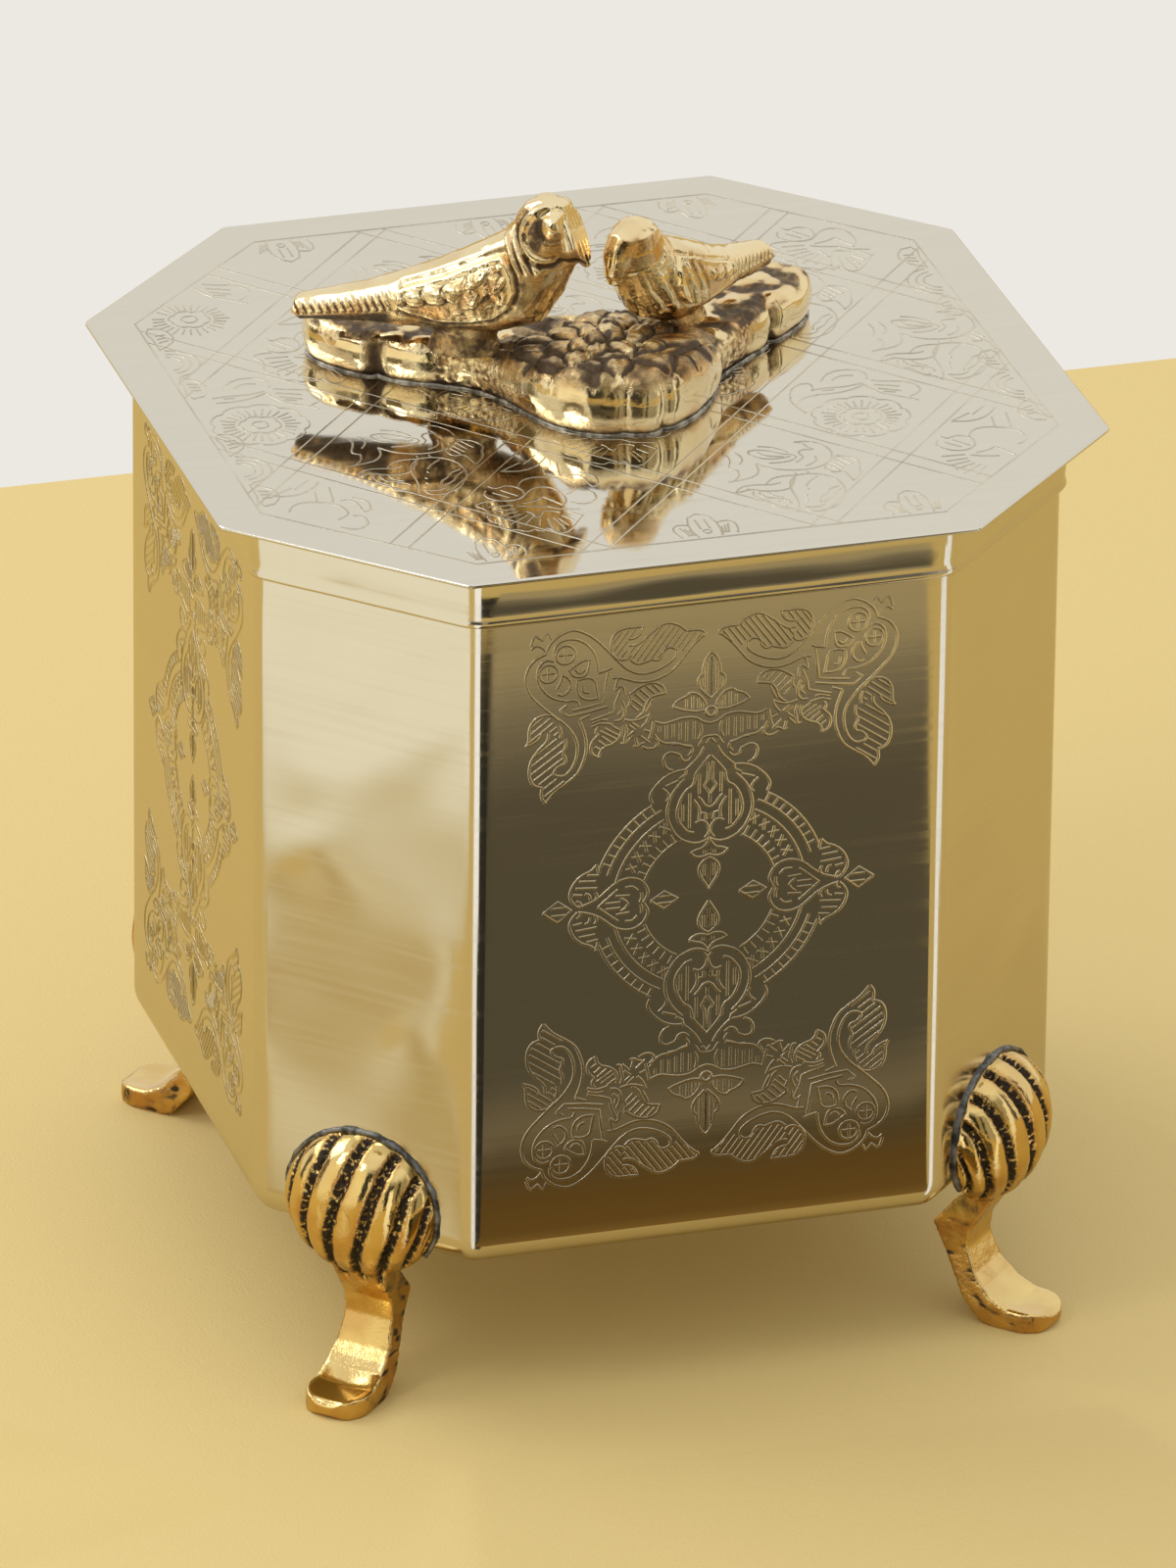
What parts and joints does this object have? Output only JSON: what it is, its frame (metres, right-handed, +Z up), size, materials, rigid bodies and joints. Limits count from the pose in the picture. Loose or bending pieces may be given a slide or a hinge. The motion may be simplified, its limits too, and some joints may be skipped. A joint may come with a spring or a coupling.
{
  "type": "paan box",
  "caption": "Footed eight-sided sheet-metal paan box with a lift-off lid under a pair of cast birds, a leaf tray, lidded cups and spoons.",
  "frame": {"origin": "on the ground, under the middle of the box", "axes": "+Z up; -Y out of the engraved front face; +X to the right of someone facing that face"},
  "size_m": [0.18, 0.18, 0.2252],
  "materials": {
    "sheet": "polished nickel-silver sheet with fine cross brushing",
    "inner_sheet": "satin nickel-silver sheet",
    "cast_brass": "polished casting with dark patina in the hollows",
    "turned_brass": "turned and polished",
    "solder": "dull grey soft solder"
  },
  "bodies": {
    "box": {"body_wall": "sheet", "base_plate": "inner_sheet", "seam_strap": "inner_sheet", "tray_brackets": "inner_sheet", "foot_front_left": "cast_brass", "foot_front_right": "cast_brass", "foot_back_left": "cast_brass", "foot_back_right": "cast_brass", "foot_solder": "solder"},
    "lid": {"lid_plate": "sheet", "lid_skirt": "sheet", "lid_solder": "solder", "finial_plinth": "cast_brass", "finial_solder": "solder", "bird_left": "cast_brass", "bird_right": "cast_brass"},
    "tray": {"leaf_tray": "inner_sheet", "tray_handle_left": "inner_sheet", "tray_handle_right": "inner_sheet", "tray_rivets": "turned_brass"},
    "lime_spoon": {"lime_spoon": "turned_brass"},
    "catechu_spoon": {"catechu_spoon": "turned_brass"},
    "areca_cup": {"areca_cup": "inner_sheet"},
    "areca_cap": {"areca_cap": "inner_sheet", "areca_knob": "turned_brass"},
    "catechu_cup": {"catechu_cup": "inner_sheet"},
    "catechu_cap": {"catechu_cap": "inner_sheet", "catechu_knob": "turned_brass"},
    "clove_cup": {"clove_cup": "inner_sheet"},
    "clove_cap": {"clove_cap": "inner_sheet", "clove_knob": "turned_brass"},
    "fennel_cup": {"fennel_cup": "inner_sheet"},
    "fennel_cap": {"fennel_cap": "inner_sheet", "fennel_knob": "turned_brass"},
    "lime_cup": {"lime_cup": "inner_sheet"},
    "lime_cap": {"lime_cap": "inner_sheet", "lime_knob": "turned_brass"}
  },
  "joints": [
    {"name": "lid_lift", "type": "slide", "parent": "box", "child": "lid", "axis": [0, 0, 1], "range_m": [0, 0.26]},
    {"name": "tray_lift", "type": "slide", "parent": "box", "child": "tray", "axis": [0, 0, 1], "range_m": [0, 0.19]},
    {"name": "lime_spoon_lift", "type": "slide", "parent": "box", "child": "lime_spoon", "axis": [0, 0, 1], "range_m": [0, 0.236]},
    {"name": "catechu_spoon_lift", "type": "slide", "parent": "box", "child": "catechu_spoon", "axis": [0, 0, 1], "range_m": [0, 0.236]},
    {"name": "areca_cup_lift", "type": "slide", "parent": "box", "child": "areca_cup", "axis": [0, 0, 1], "range_m": [0, 0.1545]},
    {"name": "areca_cap_lift", "type": "slide", "parent": "box", "child": "areca_cap", "axis": [0, 0, 1], "range_m": [0, 0.172]},
    {"name": "catechu_cup_lift", "type": "slide", "parent": "box", "child": "catechu_cup", "axis": [0, 0, 1], "range_m": [0, 0.1545]},
    {"name": "catechu_cap_lift", "type": "slide", "parent": "box", "child": "catechu_cap", "axis": [0, 0, 1], "range_m": [0, 0.172]},
    {"name": "clove_cup_lift", "type": "slide", "parent": "box", "child": "clove_cup", "axis": [0, 0, 1], "range_m": [0, 0.1545]},
    {"name": "clove_cap_lift", "type": "slide", "parent": "box", "child": "clove_cap", "axis": [0, 0, 1], "range_m": [0, 0.172]},
    {"name": "fennel_cup_lift", "type": "slide", "parent": "box", "child": "fennel_cup", "axis": [0, 0, 1], "range_m": [0, 0.1545]},
    {"name": "fennel_cap_lift", "type": "slide", "parent": "box", "child": "fennel_cap", "axis": [0, 0, 1], "range_m": [0, 0.172]},
    {"name": "lime_cup_lift", "type": "slide", "parent": "box", "child": "lime_cup", "axis": [0, 0, 1], "range_m": [0, 0.1545]},
    {"name": "lime_cap_lift", "type": "slide", "parent": "box", "child": "lime_cap", "axis": [0, 0, 1], "range_m": [0, 0.172]}
  ],
  "couplings": [
    {"joint": "tray_lift", "follows": "lid_lift", "ratio": 0.73077},
    {"joint": "lime_spoon_lift", "follows": "lid_lift", "ratio": 0.90769},
    {"joint": "catechu_spoon_lift", "follows": "lid_lift", "ratio": 0.90769},
    {"joint": "areca_cup_lift", "follows": "lid_lift", "ratio": 0.59423},
    {"joint": "areca_cap_lift", "follows": "lid_lift", "ratio": 0.66154},
    {"joint": "catechu_cup_lift", "follows": "lid_lift", "ratio": 0.59423},
    {"joint": "catechu_cap_lift", "follows": "lid_lift", "ratio": 0.66154},
    {"joint": "clove_cup_lift", "follows": "lid_lift", "ratio": 0.59423},
    {"joint": "clove_cap_lift", "follows": "lid_lift", "ratio": 0.66154},
    {"joint": "fennel_cup_lift", "follows": "lid_lift", "ratio": 0.59423},
    {"joint": "fennel_cap_lift", "follows": "lid_lift", "ratio": 0.66154},
    {"joint": "lime_cup_lift", "follows": "lid_lift", "ratio": 0.59423},
    {"joint": "lime_cap_lift", "follows": "lid_lift", "ratio": 0.66154}
  ]
}
